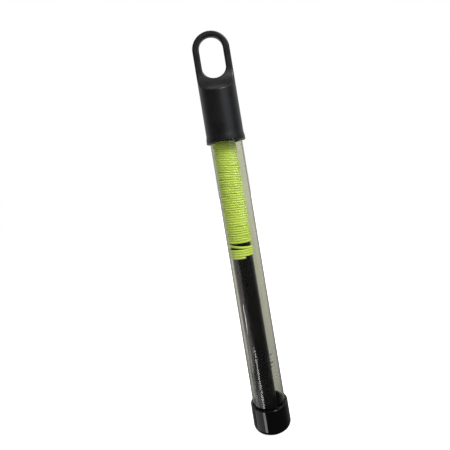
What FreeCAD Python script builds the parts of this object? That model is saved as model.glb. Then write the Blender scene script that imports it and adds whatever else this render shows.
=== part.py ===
"""Capped clear tube with a cord-wound core inside.

A clear plastic tube stands on a glossy push-on end cap. A push-on cap with a hang loop closes its top.
A hollow black core lies loose in the tube, against its -X wall, and carries a close-wound cord.
Frame: +Z runs up the tube, the origin is the middle of the end cap's flat base, and the hang loop
faces +Y and -Y. Millimetres.
"""
import FreeCAD, Part
import math
import os

# --- Driving dimensions ---------------------------------------------------------------------------
FIT_GAP = 0.05              # radial running clearance of a push fit
BODY_GAP = 0.3              # free space between pieces that only rest near each other
OVERSHOOT = 1.0             # how far a cutting body reaches past what it cuts

TUBE_OD = 25.4
TUBE_WALL = 1.0
TUBE_LENGTH = 259.0
TUBE_CHAMFER = 0.2

END_CAP_OD = 29.2
END_CAP_HEIGHT = 19.1
END_CAP_FLOOR = 2.5
END_CAP_BASE_RADIUS = 3.2   # rounding between the side and the flat base
END_CAP_RIM_RADIUS = 0.7

CAP_MOUTH_Z = 224.8         # height of the hang cap's mouth
CAP_WALL = 2.05
CAP_BELL_FLARE = 0.6        # how far the mouth stands out from the cap's side
CAP_BELL_HEIGHT = 7.0
CAP_BELL_LIP = 2.2          # straight lip at the mouth
CAP_EDGE_RADIUS = 0.5
CAP_LEAD_IN = 0.4               # bevel inside the mouth
CAP_TOP_ABOVE_MOUTH = 88.2
LOOP_THICKNESS = 5.6
LOOP_FOOT_ABOVE_MOUTH = 57.5    # where the flat loop starts to spread into the round body
SCOOP_RADIUS = 19.5             # hollow of the shoulder on each face
SLOT_WIDTH = 19.0
SLOT_BOTTOM_ABOVE_MOUTH = 50.5
SLOT_TOP_ABOVE_MOUTH = 83.9
LOOP_EDGE_RADIUS = 1.3
SHORTEST_LOOP_EDGE = 1.0        # shorter ones are slivers beside a longer edge
NUB_RADIUS = 0.9                # moulding gate at the very top
NUB_HEIGHT = 0.4

CORE_OD = 16.4
CORE_WALL = 1.5
CORE_LENGTH = 255.0
CORE_CHAMFER = 0.3

CORD_DIAMETER = 1.6             # round, where nothing presses on it
WOUND_CORD_THICKNESS = 1.1      # the braid lies flattened on the core
WOUND_CORD_WIDTH = 1.885
WINDING_TOP_Z = 252.5
WINDING_BOTTOM_Z = 133.6
CORD_HOLE_RADIUS = 1.1
CORD_HOLE_BEVEL = 0.3           # round the outside of each hole, so that it doesn't cut the cord
UPPER_HOLE_ANGLE = -90.0        # around the core, 0 along +X
LOWER_HOLE_ANGLE = -73.0
KNOT_RADIUS = 2.3
KNOT_SQUASH = 0.1               # how much of the ball is flattened by the core's wall

# --- Worked out from them -------------------------------------------------------------------------
TUBE_R = TUBE_OD / 2
TUBE_INNER_R = TUBE_R - TUBE_WALL
BORE_R = TUBE_R + FIT_GAP
TUBE_BOTTOM_Z = END_CAP_FLOOR + BODY_GAP
TUBE_TOP_Z = TUBE_BOTTOM_Z + TUBE_LENGTH
CAP_BORE_TOP_Z = TUBE_TOP_Z + BODY_GAP
CAP_R = BORE_R + CAP_WALL
CAP_TOP_Z = CAP_MOUTH_Z + CAP_TOP_ABOVE_MOUTH
LOOP_FOOT_Z = CAP_MOUTH_Z + LOOP_FOOT_ABOVE_MOUTH

CORE_R = CORE_OD / 2
CORE_INNER_R = CORE_R - CORE_WALL
CORE_BOTTOM_Z = END_CAP_FLOOR + BODY_GAP
WINDING_R = CORE_R + WOUND_CORD_THICKNESS
CORE_X = -(TUBE_INNER_R - WINDING_R - BODY_GAP)     # the core leans on the tube's -X side
UPPER_HOLE_Z = WINDING_TOP_Z - WOUND_CORD_WIDTH
LOWER_HOLE_Z = WINDING_BOTTOM_Z + WOUND_CORD_WIDTH / 2

UP = FreeCAD.Vector(0, 0, 1)
CORE_AXIS_FOOT = FreeCAD.Vector(CORE_X, 0, 0)


def vector(x, y, z):
    return FreeCAD.Vector(x, y, z)


def line(a, b):
    return Part.LineSegment(a, b).toShape()


def arc(a, middle, b):
    return Part.Arc(a, middle, b).toShape()


def corner_middle(centre, radius, degrees):
    """A point of a circle in the XZ plane, at an angle from +X towards +Z."""
    turn = math.radians(degrees)
    return vector(centre.x + radius * math.cos(turn), 0, centre.z + radius * math.sin(turn))


def revolved(edges):
    """A solid of revolution about Z from a closed profile in the XZ plane."""
    face = Part.Face(Part.Wire(edges))
    return face.revolve(vector(0, 0, 0), UP, 360)


def ring(outer_r, inner_r, bottom, top, foot=FreeCAD.Vector(0, 0, 0)):
    """A plain sleeve about a vertical axis."""
    at = foot + vector(0, 0, bottom)
    return Part.makeCylinder(outer_r, top - bottom, at).cut(Part.makeCylinder(inner_r, top - bottom, at))


def clear_tube():
    """The clear tube, with its cut ends broken by a small chamfer."""
    tube = ring(TUBE_R, TUBE_INNER_R, TUBE_BOTTOM_Z, TUBE_TOP_Z)
    rims = [e for e in tube.Edges if len(e.Vertexes) == 1]
    return tube.makeChamfer(TUBE_CHAMFER, rims)


def end_cap():
    """The push-on end cap: a plain cup with a rounded base edge and a rounded rim."""
    r = END_CAP_OD / 2
    base, rim = END_CAP_BASE_RADIUS, END_CAP_RIM_RADIUS
    top = END_CAP_HEIGHT
    base_centre = vector(r - base, 0, base)
    outer_centre = vector(r - rim, 0, top - rim)
    inner_centre = vector(BORE_R + rim, 0, top - rim)
    return revolved([
        line(vector(0, 0, 0), vector(r - base, 0, 0)),
        arc(vector(r - base, 0, 0), corner_middle(base_centre, base, -45), vector(r, 0, base)),
        line(vector(r, 0, base), vector(r, 0, top - rim)),
        arc(vector(r, 0, top - rim), corner_middle(outer_centre, rim, 45), vector(r - rim, 0, top)),
        line(vector(r - rim, 0, top), vector(BORE_R + rim, 0, top)),
        arc(vector(BORE_R + rim, 0, top), corner_middle(inner_centre, rim, 135), vector(BORE_R, 0, top - rim)),
        line(vector(BORE_R, 0, top - rim), vector(BORE_R, 0, END_CAP_FLOOR)),
        line(vector(BORE_R, 0, END_CAP_FLOOR), vector(0, 0, END_CAP_FLOOR)),
        line(vector(0, 0, END_CAP_FLOOR), vector(0, 0, 0)),
    ])


def cap_blank():
    """The hang cap's round outside, with its belled mouth, up to the top of the loop."""
    mouth_r = CAP_R + CAP_BELL_FLARE
    edge = CAP_EDGE_RADIUS
    mouth, lip = CAP_MOUTH_Z, CAP_MOUTH_Z + CAP_BELL_LIP
    neck = CAP_MOUTH_Z + CAP_BELL_HEIGHT
    edge_centre = vector(mouth_r - edge, 0, mouth + edge)
    lip_end, neck_start = vector(mouth_r, 0, lip), vector(CAP_R, 0, neck)
    s_curve = Part.BSplineCurve()
    s_curve.interpolate(Points=[lip_end, neck_start], InitialTangent=UP, FinalTangent=UP)
    return revolved([
        line(vector(0, 0, mouth), vector(mouth_r - edge, 0, mouth)),
        arc(vector(mouth_r - edge, 0, mouth), corner_middle(edge_centre, edge, -45),
            vector(mouth_r, 0, mouth + edge)),
        line(vector(mouth_r, 0, mouth + edge), lip_end),
        s_curve.toShape(),
        line(neck_start, vector(CAP_R, 0, CAP_TOP_Z)),
        line(vector(CAP_R, 0, CAP_TOP_Z), vector(0, 0, CAP_TOP_Z)),
        line(vector(0, 0, CAP_TOP_Z), vector(0, 0, mouth)),
    ])


def front_outline():
    """The cap seen from the front, extruded through it: straight sides under a round top."""
    r, wide, low = CAP_R, CAP_R + CAP_BELL_FLARE + OVERSHOOT, CAP_MOUTH_Z - OVERSHOOT
    waist, shoulder = LOOP_FOOT_Z - SCOOP_RADIUS, CAP_TOP_Z - r
    outline = [
        line(vector(-wide, -wide, low), vector(wide, -wide, low)),
        line(vector(wide, -wide, low), vector(wide, -wide, waist)),
        line(vector(wide, -wide, waist), vector(r, -wide, waist)),
        line(vector(r, -wide, waist), vector(r, -wide, shoulder)),
        arc(vector(r, -wide, shoulder), vector(0, -wide, CAP_TOP_Z), vector(-r, -wide, shoulder)),
        line(vector(-r, -wide, shoulder), vector(-r, -wide, waist)),
        line(vector(-r, -wide, waist), vector(-wide, -wide, waist)),
        line(vector(-wide, -wide, waist), vector(-wide, -wide, low)),
    ]
    return Part.Face(Part.Wire(outline)).extrude(vector(0, 2 * wide, 0))


def shoulder_cut(side):
    """What is scooped off one face, +1 or -1 along Y, to leave the flat loop."""
    half, r = LOOP_THICKNESS / 2, SCOOP_RADIUS
    far = half + r + OVERSHOOT
    middle = math.radians(45)
    low = LOOP_FOOT_Z - r
    points = {
        "top": (half, CAP_TOP_Z + OVERSHOOT),
        "foot": (half, LOOP_FOOT_Z),
        "mid": (half + r - r * math.cos(middle), LOOP_FOOT_Z - r * math.sin(middle)),
        "low": (half + r, low),
        "out": (far, low),
        "far": (far, CAP_TOP_Z + OVERSHOOT),
    }
    p = {name: vector(-far, side * y, z) for name, (y, z) in points.items()}
    outline = [
        line(p["top"], p["foot"]),
        arc(p["foot"], p["mid"], p["low"]),
        line(p["low"], p["out"]),
        line(p["out"], p["far"]),
        line(p["far"], p["top"]),
    ]
    return Part.Face(Part.Wire(outline)).extrude(vector(2 * far, 0, 0))


def hang_slot():
    """The long hole through the loop, with round ends."""
    r, far = SLOT_WIDTH / 2, CAP_R + OVERSHOOT
    low = CAP_MOUTH_Z + SLOT_BOTTOM_ABOVE_MOUTH + r
    high = CAP_MOUTH_Z + SLOT_TOP_ABOVE_MOUTH - r
    outline = [
        line(vector(r, -far, low), vector(r, -far, high)),
        arc(vector(r, -far, high), vector(0, -far, high + r), vector(-r, -far, high)),
        line(vector(-r, -far, high), vector(-r, -far, low)),
        arc(vector(-r, -far, low), vector(0, -far, low - r), vector(r, -far, low)),
    ]
    return Part.Face(Part.Wire(outline)).extrude(vector(0, 2 * far, 0))


def loop_edges(cap):
    """The edges of the loop and of the slot, which the mould rounds."""
    shoulder_low = LOOP_FOOT_Z - SCOOP_RADIUS + CAP_EDGE_RADIUS
    found = []
    for edge in cap.Edges:
        box = edge.BoundBox
        long_enough = box.ZLength + box.XLength > SHORTEST_LOOP_EDGE
        of_the_loop = box.ZMin > shoulder_low and box.YLength < 1.5 * LOOP_THICKNESS
        if long_enough and of_the_loop:
            found.append(edge)
    return found


def hang_cap():
    """The push-on cap with its hang loop, one moulding."""
    cap = cap_blank().common(front_outline())
    for side in (1, -1):
        cap = cap.cut(shoulder_cut(side))
    cap = cap.cut(hang_slot())
    cap = cap.makeFillet(LOOP_EDGE_RADIUS, loop_edges(cap))
    nub = Part.makeCylinder(NUB_RADIUS, LOOP_EDGE_RADIUS + NUB_HEIGHT,
                            vector(0, 0, CAP_TOP_Z - LOOP_EDGE_RADIUS))
    cap = cap.fuse(nub)
    bore = Part.makeCylinder(BORE_R, CAP_BORE_TOP_Z - CAP_MOUTH_Z, vector(0, 0, CAP_MOUTH_Z))
    lead_in = Part.makeCone(BORE_R + CAP_LEAD_IN, BORE_R, CAP_LEAD_IN, vector(0, 0, CAP_MOUTH_Z))
    return cap.cut(bore).cut(lead_in).removeSplitter()


def core_wall_point(angle, z, radius):
    """A point at a radius from the core's axis."""
    turn = math.radians(angle)
    return vector(CORE_X + radius * math.cos(turn), radius * math.sin(turn), z)


def outwards(angle):
    turn = math.radians(angle)
    return vector(math.cos(turn), math.sin(turn), 0)


def winder_core():
    """The hollow core, with a hole for each end of the cord."""
    core = ring(CORE_R, CORE_INNER_R, CORE_BOTTOM_Z, CORE_BOTTOM_Z + CORE_LENGTH, CORE_AXIS_FOOT)
    rims = [e for e in core.Edges if len(e.Vertexes) == 1]
    core = core.makeChamfer(CORE_CHAMFER, rims)
    for angle, z in ((UPPER_HOLE_ANGLE, UPPER_HOLE_Z), (LOWER_HOLE_ANGLE, LOWER_HOLE_Z)):
        start = core_wall_point(angle, z, CORE_INNER_R - OVERSHOOT)
        hole = Part.makeCylinder(CORD_HOLE_RADIUS, CORE_WALL + 2 * OVERSHOOT, start, outwards(angle))
        bevel_height = CORD_HOLE_BEVEL + OVERSHOOT
        bevel = Part.makeCone(CORD_HOLE_RADIUS, CORD_HOLE_RADIUS + bevel_height, bevel_height,
                              core_wall_point(angle, z, CORE_R - CORD_HOLE_BEVEL), outwards(angle))
        core = core.cut(hole).cut(bevel)
    return core


def cord_winding():
    """The space that the wound cord fills: a sleeve one cord thick on the core."""
    return ring(WINDING_R, CORE_R, WINDING_BOTTOM_Z, WINDING_TOP_Z, CORE_AXIS_FOOT)


def sleeve_at_knot(radius):
    """The inside of a sleeve on the core's axis, as high as the knot needs."""
    reach = 2 * KNOT_RADIUS
    return Part.makeCylinder(radius, 2 * reach, CORE_AXIS_FOOT + vector(0, 0, UPPER_HOLE_Z - reach))


def cord_knot():
    """The stopper knot inside the core, with the short length of cord through the upper hole."""
    from_axis = CORE_INNER_R - KNOT_RADIUS + KNOT_SQUASH
    centre = core_wall_point(UPPER_HOLE_ANGLE, UPPER_HOLE_Z, from_axis)
    knot = Part.makeSphere(KNOT_RADIUS, centre).common(sleeve_at_knot(CORE_INNER_R - FIT_GAP))
    stub = Part.makeCylinder(CORD_DIAMETER / 2, CORE_R - from_axis, centre, outwards(UPPER_HOLE_ANGLE))
    return knot.fuse(stub).common(sleeve_at_knot(CORE_R)).removeSplitter()


def main():
    os.makedirs("parts", exist_ok=True)
    pieces = {
        "clear_tube": clear_tube(),
        "end_cap": end_cap(),
        "hang_cap": hang_cap(),
        "winder_core": winder_core(),
        "cord_winding": cord_winding(),
        "cord_knot": cord_knot(),
    }
    for name, shape in pieces.items():
        if not shape.isValid() or shape.Volume <= 0 or len(shape.Solids) != 1:
            raise ValueError(f"{name} is not one sound solid")
        shape.exportStep(f"parts/{name}.step")
        box = shape.BoundBox
        print(f"{name}: {shape.Volume / 1000:.2f} cm3, z {box.ZMin:.1f} to {box.ZMax:.1f}")


main()
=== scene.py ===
"""The looks of the capped clear tube with its cord-wound core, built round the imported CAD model.

Metres, +Z up, in the CAD model's own frame.
"""
import math
import random

import bpy
from mathutils import Matrix, Vector

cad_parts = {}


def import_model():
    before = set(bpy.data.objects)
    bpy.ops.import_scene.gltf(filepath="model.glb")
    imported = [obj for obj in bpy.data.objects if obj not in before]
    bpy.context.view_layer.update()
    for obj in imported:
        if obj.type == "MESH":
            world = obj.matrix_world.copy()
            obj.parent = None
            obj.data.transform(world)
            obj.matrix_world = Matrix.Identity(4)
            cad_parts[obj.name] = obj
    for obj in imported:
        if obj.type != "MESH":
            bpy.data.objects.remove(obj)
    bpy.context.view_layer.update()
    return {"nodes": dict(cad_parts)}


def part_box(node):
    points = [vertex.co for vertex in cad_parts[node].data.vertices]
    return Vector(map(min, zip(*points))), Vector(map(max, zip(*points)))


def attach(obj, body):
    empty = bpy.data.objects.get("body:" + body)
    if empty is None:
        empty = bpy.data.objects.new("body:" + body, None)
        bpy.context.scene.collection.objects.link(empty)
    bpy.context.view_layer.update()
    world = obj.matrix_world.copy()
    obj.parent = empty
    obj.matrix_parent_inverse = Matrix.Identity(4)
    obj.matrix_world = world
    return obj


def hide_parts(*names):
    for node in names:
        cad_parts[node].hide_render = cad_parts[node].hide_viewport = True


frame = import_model()
MM = 0.001

# --- Places and sizes, from the frame -------------------------------------------------------------
CORE_LOW, CORE_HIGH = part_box("winder_core")
WINDING_LOW, WINDING_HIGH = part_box("cord_winding")
KNOT_LOW, KNOT_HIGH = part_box("cord_knot")
CORE_X = (CORE_LOW.x + CORE_HIGH.x) / 2
CORE_R = (CORE_HIGH.x - CORE_LOW.x) / 2
WINDING_R = (WINDING_HIGH.x - WINDING_LOW.x) / 2
TUBE_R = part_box("clear_tube")[1].x
TUBE_WALL = 1.0 * MM                # a box doesn't show it, so it repeats the CAD model's

# --- The cord's sizes -----------------------------------------------------------------------------
CORD_DIAMETER = 1.6 * MM            # round, where nothing presses on it
WOUND_THICKNESS = WINDING_R - CORE_R
WOUND_WIDTH = 1.885 * MM            # the braid lies flattened on the core
WOUND_R = CORE_R + WOUND_THICKNESS / 2
CORD_SIDES = 16

# --- Its turns, counted down from the upper hole --------------------------------------------------
FIRST_ANGLE = -90.0                 # of the hole that the cord comes out of, 0 along +X
LAST_ANGLE = -73.0                  # of the hole that it goes back into
WHOLE_TURNS = 62
POINTS_PER_TURN = 16
STEPS_PER_POINT = 3
HOLE_BEND = 2.26 * MM               # length over which the cord bends from the hole onto the core
GAP_TURN = 58.11                    # the turn that slipped down the core, at the right of the front
GAP_BEFORE, GAP_AFTER = 0.42, 0.03  # turns before and after it over which the cord steps down
GAP_DROP = 3.05 * MM
TURN_TILT = 0.13                    # slope of the upper turns, down towards +X
TILT_GROWS = (0, 11)                # turns over which the slope comes in
TILT_FADES = (14, 52)               # turns over which it goes again

TURNS = WHOLE_TURNS + (LAST_ANGLE - FIRST_ANGLE) / 360
FIRST_Z = WINDING_HIGH.z - WOUND_WIDTH
LAST_Z = WINDING_LOW.z + WOUND_WIDTH / 2
PITCH = (FIRST_Z - LAST_Z - GAP_DROP) / TURNS

# --- Its unevenness -------------------------------------------------------------------------------
LOOSE_SEED = 11
LOOSE_COUNT = 40
LOOSE_TURNS = (4, 55)
LOOSE_OPENINGS = (0.08, 0.30)       # mm
LOOSE_REACH = 2.5                   # turns over which an opening closes again
LOOSE_POWER = 3                     # how sharply it closes round the core
SWELL_SEED = 5
SWELL_STEP = 9                      # points along the cord from one swelling to the next
SWELL_OF_WIDTH = 0.035
SWELL_OF_THICKNESS = 0.05

# --- Its stopper knot -----------------------------------------------------------------------------
KNOT_DEPTH = 3.7 * MM               # the knot's middle, in from the outside of the core
KNOT_SCALE = 0.47 * MM
KNOT_CORD_R = 0.72 * MM             # the cord is drawn thinner in the tight knot
KNOT_STEPS = 96

# --- Camera ---------------------------------------------------------------------------------------
CAMERA_PLACE = (0, -0.290, 0.1951)
CAMERA_ROLL = math.radians(9.40)
LENS, SENSOR_WIDTH = 29.47, 36.0    # mm
SHIFT_X, SHIFT_Y = -0.0165, -0.1013


def camera():
    """Stands level and close in front, just below the hang cap, rolled so that the tube leans left."""
    data = bpy.data.cameras.new("camera")
    data.lens = LENS
    data.sensor_width = SENSOR_WIDTH
    data.shift_x = SHIFT_X
    data.shift_y = SHIFT_Y
    data.clip_start = 0.01
    forward = Vector((0, 1, 0))
    up = Vector((math.sin(CAMERA_ROLL), 0, math.cos(CAMERA_ROLL)))
    right = forward.cross(up)
    turned = Matrix((right, up, -forward)).transposed().to_4x4()
    rig = bpy.data.objects.new("camera", data)
    rig.matrix_world = Matrix.Translation(CAMERA_PLACE) @ turned
    bpy.context.scene.collection.objects.link(rig)
    bpy.context.scene.camera = rig


# --- Cord -----------------------------------------------------------------------------------------
def smoothstep(low, high, value):
    """0 up to low, 1 from high on, and an even curve between them."""
    t = min(1.0, max(0.0, (value - low) / (high - low)))
    return t * t * (3 - 2 * t)


def core_point(angle, radius, z):
    """A point at an angle and a radius about the core's axis."""
    turn = math.radians(angle)
    return Vector((CORE_X + radius * math.cos(turn), radius * math.sin(turn), z))


def loose_places():
    """Where neighbouring turns stand a little apart: (turn, angle, half the opening)."""
    draw = random.Random(LOOSE_SEED)
    places = []
    for _ in range(LOOSE_COUNT):
        turn = draw.uniform(*LOOSE_TURNS)
        angle = draw.uniform(0, 360)
        opening = draw.uniform(*LOOSE_OPENINGS) * MM
        places.append((turn, angle, opening))
    return places


LOOSE_PLACES = loose_places()


def turn_height(turn):
    """Height of the cord's middle after so many turns, counted down from the upper hole."""
    angle = FIRST_ANGLE + 360 * turn
    tilt = TURN_TILT * smoothstep(*TILT_GROWS, turn) * (1 - smoothstep(*TILT_FADES, turn))
    z = FIRST_Z - PITCH * turn - tilt * WOUND_R * math.cos(math.radians(angle))
    z -= GAP_DROP * smoothstep(GAP_TURN - GAP_BEFORE, GAP_TURN + GAP_AFTER, turn)
    for place, side, opening in LOOSE_PLACES:
        facing = max(0.0, math.cos(math.radians(angle - side))) ** LOOSE_POWER
        near = math.exp(-abs(turn - place) / LOOSE_REACH) * facing
        z += opening * near * (1 if turn < place else -1)
    return z


def winding_route():
    """The control points: out of the upper hole, round the core, and into the lower hole.

    The curve cuts the corners between its control points, so they stand a little further out than
    the cord's middle does.
    """
    reach = WOUND_R / math.cos(math.pi / POINTS_PER_TURN)
    count = round(TURNS * POINTS_PER_TURN)
    knot_r = -(KNOT_LOW.y + KNOT_HIGH.y) / 2
    points = [core_point(FIRST_ANGLE, knot_r, FIRST_Z)]
    points.append(core_point(FIRST_ANGLE, WOUND_R - 2 * HOLE_BEND, FIRST_Z))
    for i in range(count + 1):
        turn = i * TURNS / count
        points.append(core_point(FIRST_ANGLE + 360 * turn, reach, turn_height(turn)))
    points.append(core_point(LAST_ANGLE, WOUND_R - 2 * HOLE_BEND, LAST_Z))
    points.append(core_point(LAST_ANGLE, CORE_R / 2, LAST_Z))
    return points


def spline_points(route, steps):
    """Points along the NURBS curve whose control points are the route."""
    curve = bpy.data.curves.new("route", "CURVE")
    curve.dimensions = "3D"
    spline = curve.splines.new("NURBS")
    spline.points.add(len(route) - 1)
    for control, place in zip(spline.points, route):
        control.co = (*place, 1)
    spline.order_u = 3
    spline.use_endpoint_u = True
    spline.resolution_u = steps
    holder = bpy.data.objects.new("route", curve)
    bpy.context.scene.collection.objects.link(holder)
    bpy.context.view_layer.update()
    mesh = bpy.data.meshes.new_from_object(holder)
    points = [v.co.copy() for v in mesh.vertices]
    bpy.data.meshes.remove(mesh)
    bpy.data.objects.remove(holder)
    bpy.data.curves.remove(curve)
    return points


def swept(name, path, section, sides, closed=False, flat_to=Vector((0, 0, 1))):
    """A tube along a path. section(i) gives its half width along flat_to and its half thickness.

    The UV map runs once round the cord in U, and along it in metres in V.
    """
    count = len(path)
    verts, along = [], [0.0]
    for i, place in enumerate(path):
        before = path[i - 1] if closed or i > 0 else path[0]
        after = path[(i + 1) % count] if closed or i < count - 1 else path[-1]
        tangent = (after - before).normalized()
        wide = (flat_to - tangent * flat_to.dot(tangent)).normalized()
        thick = tangent.cross(wide)
        half_width, half_thickness = section(i)
        for k in range(sides):
            turn = 2 * math.pi * k / sides
            verts.append(place + wide * half_width * math.cos(turn) + thick * half_thickness * math.sin(turn))
        along.append(along[-1] + (path[(i + 1) % count] - place).length)
    faces, uvs = [], []
    for i in range(count if closed else count - 1):
        j = (i + 1) % count
        for k in range(sides):
            n = (k + 1) % sides
            faces.append((i * sides + k, j * sides + k, j * sides + n, i * sides + n))
            u0, u1 = k / sides, (k + 1) / sides
            uvs += [(u0, along[i]), (u0, along[i + 1]), (u1, along[i + 1]), (u1, along[i])]
    if not closed:
        for ring, ends in ((0, along[0]), (count - 1, along[count - 1])):
            corners = [ring * sides + k for k in range(sides)]
            faces.append(tuple(corners if ring == 0 else reversed(corners)))
            uvs += [(0.5, ends)] * sides
    mesh = bpy.data.meshes.new(name)
    mesh.from_pydata(verts, [], faces)
    layer = mesh.uv_layers.new(name="cord")
    layer.data.foreach_set("uv", [c for uv in uvs for c in uv])
    mesh.polygons.foreach_set("use_smooth", [True] * len(faces))
    mesh.update()
    piece = bpy.data.objects.new(name, mesh)
    bpy.context.scene.collection.objects.link(piece)
    return piece


def wound_section(path):
    """The cord's section: an oval where it is wound, round where it goes through a hole."""
    draw = random.Random(SWELL_SEED)
    swell = [draw.uniform(-1, 1) for _ in range(len(path) // SWELL_STEP + 2)]

    def section(i):
        r = math.hypot(path[i].x - CORE_X, path[i].y)
        wound = smoothstep(CORE_R, WOUND_R, r)
        step, part = divmod(i, SWELL_STEP)
        puff = swell[step] + (swell[step + 1] - swell[step]) * part / SWELL_STEP
        wide = CORD_DIAMETER + (WOUND_WIDTH - CORD_DIAMETER) * wound
        thick = CORD_DIAMETER + (WOUND_THICKNESS - CORD_DIAMETER) * wound
        return wide / 2 * (1 + SWELL_OF_WIDTH * puff), thick / 2 * (1 + SWELL_OF_THICKNESS * puff)

    return section


def overhand_knot():
    """The stopper knot, drawn up tight: a closed trefoil, with no tail to be seen."""
    middle = (KNOT_LOW + KNOT_HIGH) / 2
    middle.y = -(CORE_R - KNOT_DEPTH)
    path = []
    for i in range(KNOT_STEPS):
        t = 2 * math.pi * i / KNOT_STEPS
        across = math.sin(t) + 2 * math.sin(2 * t)
        upwards = math.cos(t) - 2 * math.cos(2 * t)
        path.append(middle + Vector((across, -1.5 * math.sin(3 * t), upwards)) * KNOT_SCALE)
    return swept("stopper_knot", path, lambda i: (KNOT_CORD_R, KNOT_CORD_R), CORD_SIDES, closed=True,
                 flat_to=Vector((0, 1, 0)))


def cord():
    """The wound cord and its knot, which ride on the winder in place of the CAD's plain shapes."""
    path = spline_points(winding_route(), STEPS_PER_POINT)
    wound = swept("wound_cord", path, wound_section(path), CORD_SIDES)
    knot = overhand_knot()
    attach(wound, "winder")
    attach(knot, "winder")
    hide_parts("cord_winding")
    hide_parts("cord_knot")
    return wound, knot


# --- Material helpers -----------------------------------------------------------------------------
def new_material(name):
    material = bpy.data.materials.new(name)
    material.use_nodes = True
    material.node_tree.nodes.clear()
    return material, material.node_tree


def fill(tree, socket, value):
    """Puts a value, or the link to another node's output, into an input."""
    if isinstance(value, bpy.types.NodeSocket):
        tree.links.new(value, socket)
    else:
        socket.default_value = value


def add(tree, kind, inputs=None, **settings):
    """A node with its settings and its inputs, each a value or another node's output."""
    node = tree.nodes.new("ShaderNode" + kind)
    for key, value in settings.items():
        setattr(node, key, value)
    for key, value in (inputs or {}).items():
        fill(tree, node.inputs[key], value)
    return node


def maths(tree, operation, a, b=0.0):
    return add(tree, "Math", {0: a, 1: b}, operation=operation).outputs[0]


def ranged(tree, value, low, high, to_low, to_high):
    """value, from low to high, made into to_low to to_high and held there."""
    inputs = {"Value": value, "From Min": low, "From Max": high, "To Min": to_low, "To Max": to_high}
    return add(tree, "MapRange", inputs).outputs["Result"]


def noise(tree, place, scale, detail=3.0, roughness=0.5):
    inputs = {"Vector": place, "Scale": scale, "Detail": detail, "Roughness": roughness}
    return add(tree, "TexNoise", inputs).outputs["Fac"]


def stretched(tree, place, scale):
    """place, scaled by three numbers, so that a noise runs along one way."""
    return add(tree, "Mapping", {"Vector": place, "Scale": scale}).outputs["Vector"]


def bump(tree, height, distance, strength, normal=None):
    inputs = {"Height": height, "Distance": distance, "Strength": strength}
    if normal is not None:
        inputs["Normal"] = normal
    return add(tree, "Bump", inputs).outputs["Normal"]


def mixed(tree, factor, a, b):
    """Two colours mixed by a factor.

    A Mix node has sockets of the same name for numbers, vectors and colours, so they go by number here.
    """
    node = add(tree, "Mix", data_type="RGBA")
    for number, value in ((0, factor), (6, a), (7, b)):
        fill(tree, node.inputs[number], value)
    return node.outputs[2]


def shaded(tree, inputs):
    return add(tree, "BsdfPrincipled", inputs).outputs[0]


def finish_with(tree, shader):
    add(tree, "OutputMaterial", {"Surface": shader})


def object_place(tree):
    return add(tree, "TexCoord").outputs["Object"]


# --- Materials ------------------------------------------------------------------------------------
def satin_black_plastic():
    """The hang cap: black polyethylene with a fine moulded grain and light handling scuffs."""
    material, tree = new_material("satin_black_plastic")
    place = object_place(tree)
    grain = noise(tree, place, 5200, 2.0)
    wave = noise(tree, place, 90, 2.0)
    scuff = noise(tree, stretched(tree, place, (1400, 1400, 160)), 1.0, 4.0, 0.65)
    scuffed = ranged(tree, scuff, 0.60, 0.74, 0.0, 1.0)
    deep, plain, pale = (0.0050, 0.0050, 0.0056, 1), (0.0075, 0.0075, 0.0084, 1), (0.026, 0.026, 0.028, 1)
    colour = mixed(tree, ranged(tree, wave, 0.3, 0.7, 0.0, 1.0), deep, plain)
    colour = mixed(tree, maths(tree, "MULTIPLY", scuffed, 0.35), colour, pale)
    rough = ranged(tree, wave, 0.3, 0.7, 0.36, 0.44)
    rough = maths(tree, "ADD", rough, maths(tree, "MULTIPLY", scuffed, 0.08))
    normal = bump(tree, wave, 0.10 * MM, 0.5)
    normal = bump(tree, grain, 0.02 * MM, 0.6, normal)
    inputs = {"Base Color": colour, "Roughness": rough, "Normal": normal, "IOR": 1.46}
    finish_with(tree, shaded(tree, inputs))
    return material


def gloss_black_vinyl():
    """The end cap: dipped vinyl with a wet gloss, slightly uneven, with hair scratches."""
    material, tree = new_material("gloss_black_vinyl")
    place = object_place(tree)
    swell = noise(tree, stretched(tree, place, (150, 150, 60)), 1.0, 1.0)
    hair = noise(tree, stretched(tree, place, (300, 300, 6000)), 1.0, 2.0)
    scratch = ranged(tree, hair, 0.66, 0.72, 0.0, 1.0)
    plain, scratched = (0.0022, 0.0022, 0.0024, 1), (0.006, 0.006, 0.006, 1)
    colour = mixed(tree, scratch, plain, scratched)
    rough = ranged(tree, swell, 0.3, 0.7, 0.06, 0.11)
    rough = maths(tree, "ADD", rough, maths(tree, "MULTIPLY", scratch, 0.10))
    normal = bump(tree, swell, 0.25 * MM, 0.5)
    inputs = {"Base Color": colour, "Roughness": rough, "Normal": normal, "IOR": 1.38}
    finish_with(tree, shaded(tree, inputs))
    return material


def gloss_black_core():
    """The core: extruded gloss plastic with faint draw lines along it."""
    material, tree = new_material("gloss_black_core")
    place = object_place(tree)
    drawn = noise(tree, stretched(tree, place, (2600, 2600, 14)), 1.0, 3.0)
    smear = noise(tree, stretched(tree, place, (160, 160, 45)), 1.0, 3.0)
    deep, pale = (0.0018, 0.0018, 0.0020, 1), (0.0040, 0.0040, 0.0043, 1)
    colour = mixed(tree, drawn, deep, pale)
    rough = ranged(tree, smear, 0.3, 0.7, 0.24, 0.32)
    rough = maths(tree, "ADD", rough, ranged(tree, drawn, 0.3, 0.7, 0.0, 0.04))
    normal = bump(tree, drawn, 0.02 * MM, 0.4)
    inputs = {"Base Color": colour, "Roughness": rough, "Normal": normal, "IOR": 1.5}
    finish_with(tree, shaded(tree, inputs))
    return material


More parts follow.
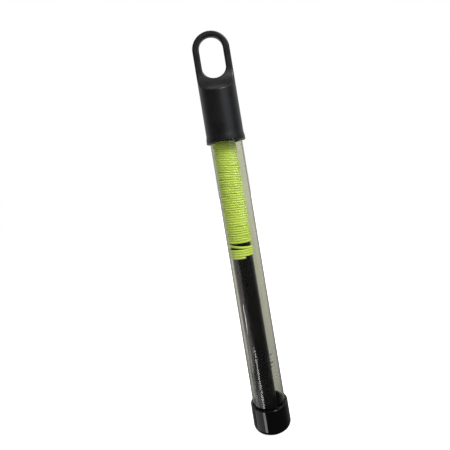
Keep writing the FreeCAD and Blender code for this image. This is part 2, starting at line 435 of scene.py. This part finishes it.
def clear_plastic():
    """The tube: clear plastic with a faint haze on its inside, and smears and hair scratches outside."""
    material, tree = new_material("clear_plastic")
    place = object_place(tree)
    flat = add(tree, "VectorMath", {0: place, 1: (1, 1, 0)}, operation="MULTIPLY").outputs[0]
    radius = add(tree, "VectorMath", {0: flat}, operation="LENGTH").outputs["Value"]
    inside = maths(tree, "LESS_THAN", radius, TUBE_R - TUBE_WALL / 2)
    smear = noise(tree, stretched(tree, place, (170, 170, 50)), 1.0, 4.0, 0.6)
    hair = noise(tree, stretched(tree, place, (2400, 2400, 60)), 1.0, 2.0)
    scratch = ranged(tree, hair, 0.68, 0.74, 0.0, 1.0)
    rough = ranged(tree, smear, 0.35, 0.70, 0.045, 0.08)
    rough = maths(tree, "ADD", rough, maths(tree, "MULTIPLY", inside, 0.06))
    rough = maths(tree, "ADD", rough, maths(tree, "MULTIPLY", scratch, 0.10))
    clean, smeared = (0.88, 0.88, 0.83, 1), (0.83, 0.83, 0.79, 1)
    colour = mixed(tree, ranged(tree, smear, 0.35, 0.7, 0.0, 1.0), clean, smeared)
    normal = bump(tree, smear, 0.006 * MM, 0.3)
    inputs = {"Base Color": colour, "Roughness": rough, "Normal": normal,
              "Transmission Weight": 1.0, "IOR": 1.46}
    glass = shaded(tree, inputs)
    clear = add(tree, "BsdfTransparent", {"Color": (0.90, 0.90, 0.86, 1)}).outputs[0]
    shadow_ray = add(tree, "LightPath").outputs["Is Shadow Ray"]
    shader = add(tree, "MixShader", {0: shadow_ray, 1: glass, 2: clear})
    finish_with(tree, shader.outputs[0])
    return material


def braid(tree, around, along, carriers, pick):
    """Height of a braid's surface, 0 to 1: two sets of strands that cross as diamonds."""
    turn = maths(tree, "MULTIPLY", around, carriers * math.pi)
    run = maths(tree, "MULTIPLY", along, math.pi / pick)
    one = maths(tree, "SINE", maths(tree, "ADD", turn, run))
    other = maths(tree, "SINE", maths(tree, "SUBTRACT", turn, run))
    return maths(tree, "ABSOLUTE", maths(tree, "MULTIPLY", one, other))


def lime_cord():
    """Braided polyester cord: a diamond braid, fine fibres, and turns that aren't all one shade.

    side is 1 where the cord touches its neighbours, and there the grooves between turns get painted shade.
    The braid's low places, between its strands, get painted shade too.
    """
    material, tree = new_material("lime_cord")
    uv = add(tree, "UVMap", uv_map="cord").outputs["UV"]
    parts = add(tree, "SeparateXYZ", {"Vector": uv}).outputs
    place = object_place(tree)
    strands = braid(tree, parts["X"], parts["Y"], 8, 1.5 * MM)
    fibre = noise(tree, stretched(tree, uv, (90, 900, 1)), 1.0, 3.0)
    shade = noise(tree, stretched(tree, place, (60, 60, 700)), 1.0, 3.0, 0.6)
    side = maths(tree, "ABSOLUTE", maths(tree, "COSINE", maths(tree, "MULTIPLY", parts["X"], 2 * math.pi)))
    light, deep = (0.62, 0.80, 0.115, 1), (0.34, 0.46, 0.05, 1)
    # The third colour on the next line is painted shade for the grooves where turns touch.
    dull, fuzzy, painted_groove_shade = (0.50, 0.68, 0.07, 1), (0.74, 0.90, 0.22, 1), (0.13, 0.19, 0.018, 1)
    # Painted shade: the braid's low places, between its strands, go towards the darker deep colour.
    colour = mixed(tree, ranged(tree, strands, 0.0, 0.5, 0.55, 0.0), light, deep)
    colour = mixed(tree, ranged(tree, shade, 0.35, 0.75, 0.0, 0.45), colour, dull)
    colour = mixed(tree, ranged(tree, fibre, 0.4, 0.8, 0.0, 0.3), colour, fuzzy)
    # Painted shade in the grooves, where side says the cord touches its neighbours.
    colour = mixed(tree, ranged(tree, side, 0.62, 1.0, 0.0, 0.55), colour, painted_groove_shade)
    height = maths(tree, "ADD", strands, maths(tree, "MULTIPLY", fibre, 0.3))
    normal = bump(tree, height, 0.09 * MM, 0.8)
    inputs = {"Base Color": colour, "Roughness": 0.62, "Normal": normal, "Sheen Weight": 0.25,
              "Sheen Roughness": 0.45, "Sheen Tint": (0.85, 1.0, 0.5, 1), "Specular IOR Level": 0.3}
    finish_with(tree, shaded(tree, inputs))
    return material


def marking_ink():
    """Dark grey print, partly rubbed off."""
    material, tree = new_material("marking_ink")
    rubbed = noise(tree, object_place(tree), 1500, 4.0, 0.7)
    ink = shaded(tree, {"Base Color": (0.03, 0.032, 0.035, 1), "Roughness": 0.6})
    gone = add(tree, "BsdfTransparent").outputs[0]
    keep = ranged(tree, rubbed, 0.35, 0.62, 0.95, 0.40)
    shader = add(tree, "MixShader", {0: keep, 1: gone, 2: ink})
    finish_with(tree, shader.outputs[0])
    return material


# --- Marks on the tube ----------------------------------------------------------------------------
MARK_COUNT = 4
MARK_SPACING = 2.98 * MM
TOP_MARK_Z = 59.3 * MM
MARK_HEIGHT = 0.75 * MM
MARK_START, LONG_MARK_END, SHORT_MARK_END = -74, -51, -59   # degrees, 0 along +X
MARK_STEPS = 14
INK_GAP, INK_THICKNESS = 0.004 * MM, 0.02 * MM


def tube_patch(verts, faces, z, first_angle, last_angle):
    """A thin curved bar of print on the outside of the tube."""
    base = len(verts)
    for i in range(MARK_STEPS + 1):
        turn = math.radians(first_angle + (last_angle - first_angle) * i / MARK_STEPS)
        for r, side in ((0, -1), (1, -1), (1, 1), (0, 1)):
            radius = TUBE_R + INK_GAP + r * INK_THICKNESS
            verts.append((radius * math.cos(turn), radius * math.sin(turn), z + side * MARK_HEIGHT / 2))
    for i in range(MARK_STEPS):
        a, b = base + 4 * i, base + 4 * (i + 1)
        for k in range(4):
            n = (k + 1) % 4
            faces.append((a + k, b + k, b + n, a + n))
    faces.append(tuple(base + k for k in range(4)))
    faces.append(tuple(base + 4 * MARK_STEPS + k for k in reversed(range(4))))


def graduation_marks():
    """A plain scale of long and short strokes, low on the tube, right of the front."""
    verts, faces = [], []
    for i in range(MARK_COUNT):
        last = LONG_MARK_END if i % 2 == 0 else SHORT_MARK_END
        tube_patch(verts, faces, TOP_MARK_Z - i * MARK_SPACING, MARK_START, last)
    mesh = bpy.data.meshes.new("graduation_marks")
    mesh.from_pydata(verts, [], faces)
    mesh.update()
    marks = bpy.data.objects.new("graduation_marks", mesh)
    bpy.context.scene.collection.objects.link(marks)
    mesh.materials.append(marking_ink())
    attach(marks, "tube")


# --- Stage and light ------------------------------------------------------------------------------
WHITE = (1, 1, 1, 1)
BACK_LOW, BACK_LEVEL = (0.45, 0.45, 0.41, 1), (0.74, 0.76, 0.58, 1)      # through the tube
TUBE_EDGE, EDGE_SHARE = (0.06, 0.06, 0.06, 1), 0.78                      # through its edges
SHINE_DARK, SHINE_BRIGHT = (0.035, 0.035, 0.037, 1), (0.75, 0.74, 0.74, 1)
SKY_LOW, SKY_HIGH = (0.14, 0.14, 0.14, 1), (2.0, 2.0, 2.0, 1)
FLOOR_HALF = 4.0
LIGHT_AIM_Z = 0.16


def seen_through_tube(tree, path, way, shone):
    """1 for a ray that leaves the tube for the backdrop and has met nothing matt, otherwise 0.

    A ray that shone off something counts too while it has been through at most two walls and still
    goes on to the back: the tube's own wall turns it that way.
    """
    lit = maths(tree, "GREATER_THAN", path["Diffuse Depth"], 0.5)
    onwards = maths(tree, "GREATER_THAN", way["Y"], 0.0)
    edge_on = maths(tree, "MULTIPLY", maths(tree, "LESS_THAN", path["Transmission Depth"], 2.5), onwards)
    unshone = maths(tree, "MAXIMUM", maths(tree, "SUBTRACT", 1.0, shone), edge_on)
    unlit = maths(tree, "SUBTRACT", 1.0, lit)
    return maths(tree, "MULTIPLY", path["Is Transmission Ray"], maths(tree, "MULTIPLY", unshone, unlit))


def backdrop(tree, way, shone):
    """What shows through the tube: dimmer low down, and dark for a ray that its wall has turned."""
    behind = mixed(tree, ranged(tree, way["Z"], -0.5, 0.0, 0.0, 1.0), BACK_LOW, BACK_LEVEL)
    turned_away = maths(tree, "MULTIPLY", shone, EDGE_SHARE)
    return mixed(tree, turned_away, behind, TUBE_EDGE)


def reflected(tree, way):
    """What glossy surfaces show: bright towards the back, dark towards the front and low down."""
    backwards = ranged(tree, way["Y"], -0.1, 0.6, 0.0, 1.0)
    upwards = ranged(tree, way["Z"], -0.55, -0.25, 0.25, 1.0)
    return mixed(tree, maths(tree, "MULTIPLY", backwards, upwards), SHINE_DARK, SHINE_BRIGHT)


def world():
    """White for the camera, with a level of its own for what lights, what shines and what shows
    through the tube."""
    studio = bpy.data.worlds.new("studio")
    bpy.context.scene.world = studio
    studio.use_nodes = True
    studio.cycles.sampling_method = "NONE"
    tree = studio.node_tree
    tree.nodes.clear()
    path = add(tree, "LightPath").outputs
    way = add(tree, "SeparateXYZ", {"Vector": add(tree, "TexCoord").outputs["Generated"]}).outputs
    shone = maths(tree, "GREATER_THAN", path["Glossy Depth"], 0.5)
    sky = mixed(tree, ranged(tree, way["Z"], -0.2, 0.7, 0.0, 1.0), SKY_LOW, SKY_HIGH)
    colour = mixed(tree, shone, sky, reflected(tree, way))
    through = seen_through_tube(tree, path, way, shone)
    colour = mixed(tree, through, colour, backdrop(tree, way, shone))
    colour = mixed(tree, path["Is Camera Ray"], colour, WHITE)
    background = add(tree, "Background", {"Color": colour, "Strength": 1.0})
    add(tree, "OutputWorld", {"Surface": background.outputs[0]})


def floor():
    """A wide pale floor. Only the camera sees it."""
    mesh = bpy.data.meshes.new("floor")
    corners = [(x * FLOOR_HALF, y * FLOOR_HALF, 0) for x, y in ((-1, -1), (1, -1), (1, 1), (-1, 1))]
    mesh.from_pydata(corners, [], [(0, 1, 2, 3)])
    piece = bpy.data.objects.new("floor", mesh)
    bpy.context.scene.collection.objects.link(piece)
    material, tree = new_material("pale_floor")
    inputs = {"Base Color": (0.9, 0.9, 0.9, 1), "Roughness": 0.9, "Specular IOR Level": 0.0,
              "Emission Color": WHITE, "Emission Strength": 0.5}
    finish_with(tree, shaded(tree, inputs))
    mesh.materials.append(material)
    for ray in ("diffuse", "glossy", "transmission", "shadow"):
        setattr(piece, "visible_" + ray, False)


def soft_light(name, azimuth, height, distance, size, watts, colour=(1, 1, 1), on_matt=False):
    """An area light on a stand, turned to the tube: azimuth is from the front towards +X, in degrees."""
    data = bpy.data.lights.new(name, "AREA")
    data.shape = "RECTANGLE"
    data.size, data.size_y = size
    data.energy = watts
    data.color = colour
    lamp = bpy.data.objects.new(name, data)
    turn = math.radians(azimuth)
    place = Vector((distance * math.sin(turn), -distance * math.cos(turn), height))
    away = place - Vector((0, 0, LIGHT_AIM_Z))
    lamp.matrix_world = Matrix.Translation(place) @ away.to_track_quat("Z", "Y").to_matrix().to_4x4()
    bpy.context.scene.collection.objects.link(lamp)
    lamp.visible_camera = False
    lamp.visible_transmission = False
    lamp.visible_diffuse = on_matt


def lights():
    """One key that lights everything, and five that only shine in the glossy parts."""
    soft_light("key", azimuth=35, height=1.05, distance=0.75, size=(0.30, 0.30), watts=9.0,
               colour=(0.97, 0.98, 1.0), on_matt=True)
    soft_light("right_soft", azimuth=38, height=0.28, distance=0.9, size=(0.8, 0.5), watts=1.4,
               colour=(0.92, 0.96, 1.0))
    soft_light("left_band", azimuth=-83, height=-0.19, distance=0.8, size=(0.95, 0.32), watts=1.05,
               colour=(1.0, 0.90, 0.92))
    soft_light("left_strip", azimuth=-43, height=-0.37, distance=0.7, size=(0.15, 0.22), watts=0.55)
    soft_light("left_low", azimuth=-80, height=-0.53, distance=0.8, size=(0.90, 0.16), watts=0.40)
    soft_light("left_spot", azimuth=-73, height=-0.21, distance=0.8, size=(0.10, 0.07), watts=0.30)


def dress_cad_pieces():
    """Gives each CAD piece that is seen as it is its material."""
    looks = {
        "clear_tube": clear_plastic(),
        "end_cap": gloss_black_vinyl(),
        "hang_cap": satin_black_plastic(),
        "winder_core": gloss_black_core(),
    }
    for name, material in looks.items():
        mesh = frame["nodes"][name].data
        mesh.materials.clear()
        mesh.materials.append(material)


def main():
    camera()
    cord_material = lime_cord()
    for piece in cord():
        piece.data.materials.append(cord_material)
    dress_cad_pieces()
    graduation_marks()
    world()
    floor()
    lights()
    bpy.context.scene.view_settings.view_transform = "Standard"


main()
